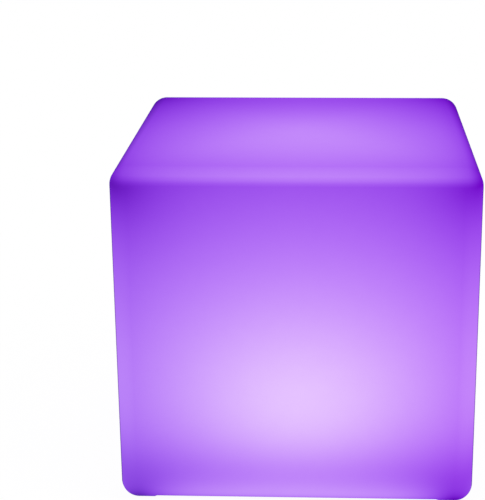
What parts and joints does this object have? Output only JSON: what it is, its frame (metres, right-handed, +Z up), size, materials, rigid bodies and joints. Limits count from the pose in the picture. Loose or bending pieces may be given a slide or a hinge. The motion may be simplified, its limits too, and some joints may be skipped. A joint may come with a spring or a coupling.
{
  "type": "light-up cube stool",
  "caption": "Cube seat with rounded edges, a translucent hollow shell that glows, and a rechargeable lamp unit in its base.",
  "frame": {"origin": "on the floor under the middle of the stool, at the height of the underside of its corner feet", "axes": "+Z up, -Y the front as the picture shows it, +X to the viewer's right"},
  "size_m": [0.4, 0.4, 0.39],
  "materials": {
    "lit_polyethylene": "satin, translucent, lit from inside",
    "white_abs": "satin",
    "frosted_cover": "frosted",
    "grey_silicone": "matte",
    "black_rubber": "matte",
    "stainless_steel": "satin",
    "brass": "knurled",
    "aluminium": "rolled",
    "nickel": "bright",
    "white_board": "white solder mask",
    "green_board": "green solder mask",
    "led_package": "moulded",
    "cell_sleeve": "shrink sleeve over a cell",
    "black_plastic": "fine texture",
    "grey_plastic": "fine texture",
    "cable_sheath": "satin"
  },
  "bodies": {
    "stool": {"cube_shell": "lit_polyethylene", "base_plate": "white_abs", "lamp_housing": "white_abs", "diffuser_dome": "frosted_cover", "flange_gasket": "grey_silicone", "switch_seal": "black_rubber", "socket_seal": "black_rubber", "cap_anchor": "black_rubber", "flange_screw_1": "stainless_steel", "flange_screw_2": "stainless_steel", "flange_screw_3": "stainless_steel", "flange_screw_4": "stainless_steel", "flange_screw_5": "stainless_steel", "flange_screw_6": "stainless_steel", "housing_screw_1": "stainless_steel", "housing_screw_2": "stainless_steel", "housing_screw_3": "stainless_steel", "light_board_screw_1": "stainless_steel", "light_board_screw_2": "stainless_steel", "control_board_screw_1": "stainless_steel", "control_board_screw_2": "stainless_steel", "bracket_screw_1": "stainless_steel", "bracket_screw_2": "stainless_steel", "battery_bracket": "stainless_steel", "switch_nut": "stainless_steel", "socket_nut": "stainless_steel", "switch_spring": "stainless_steel", "brass_insert_1": "brass", "brass_insert_2": "brass", "brass_insert_3": "brass", "brass_insert_4": "brass", "brass_insert_5": "brass", "brass_insert_6": "brass", "socket_pin": "brass", "heat_spreader": "aluminium", "nickel_strip_front": "nickel", "nickel_strip_back": "nickel", "led_board": "white_board", "control_board": "green_board", "protection_board": "green_board", "led_1": "led_package", "led_2": "led_package", "led_3": "led_package", "led_4": "led_package", "led_5": "led_package", "led_6": "led_package", "led_7": "led_package", "led_8": "led_package", "battery_cell_1": "cell_sleeve", "battery_cell_2": "cell_sleeve", "infrared_receiver": "black_plastic", "driver_chip": "black_plastic", "charging_socket": "black_plastic", "switch_body": "grey_plastic", "switch_lead": "cable_sheath", "socket_lead": "cable_sheath", "led_lead": "cable_sheath", "battery_lead": "cable_sheath"},
    "button": {"switch_button": "black_plastic"},
    "cap": {"socket_cap": "black_rubber"}
  },
  "joints": [
    {"name": "button_press", "type": "slide", "parent": "stool", "child": "button", "axis": [0, 0, 1], "range_m": [0, 0.0016], "stiffness_N_per_m": 900, "springref_m": -0.0008, "deforming": ["switch_spring"]},
    {"name": "cap_hinge", "type": "hinge", "parent": "stool", "child": "cap", "pos_m": [0.03623, 0.01016, 0.0049], "axis": [0, -1, 0], "range_deg": [0, 90]}
  ]
}
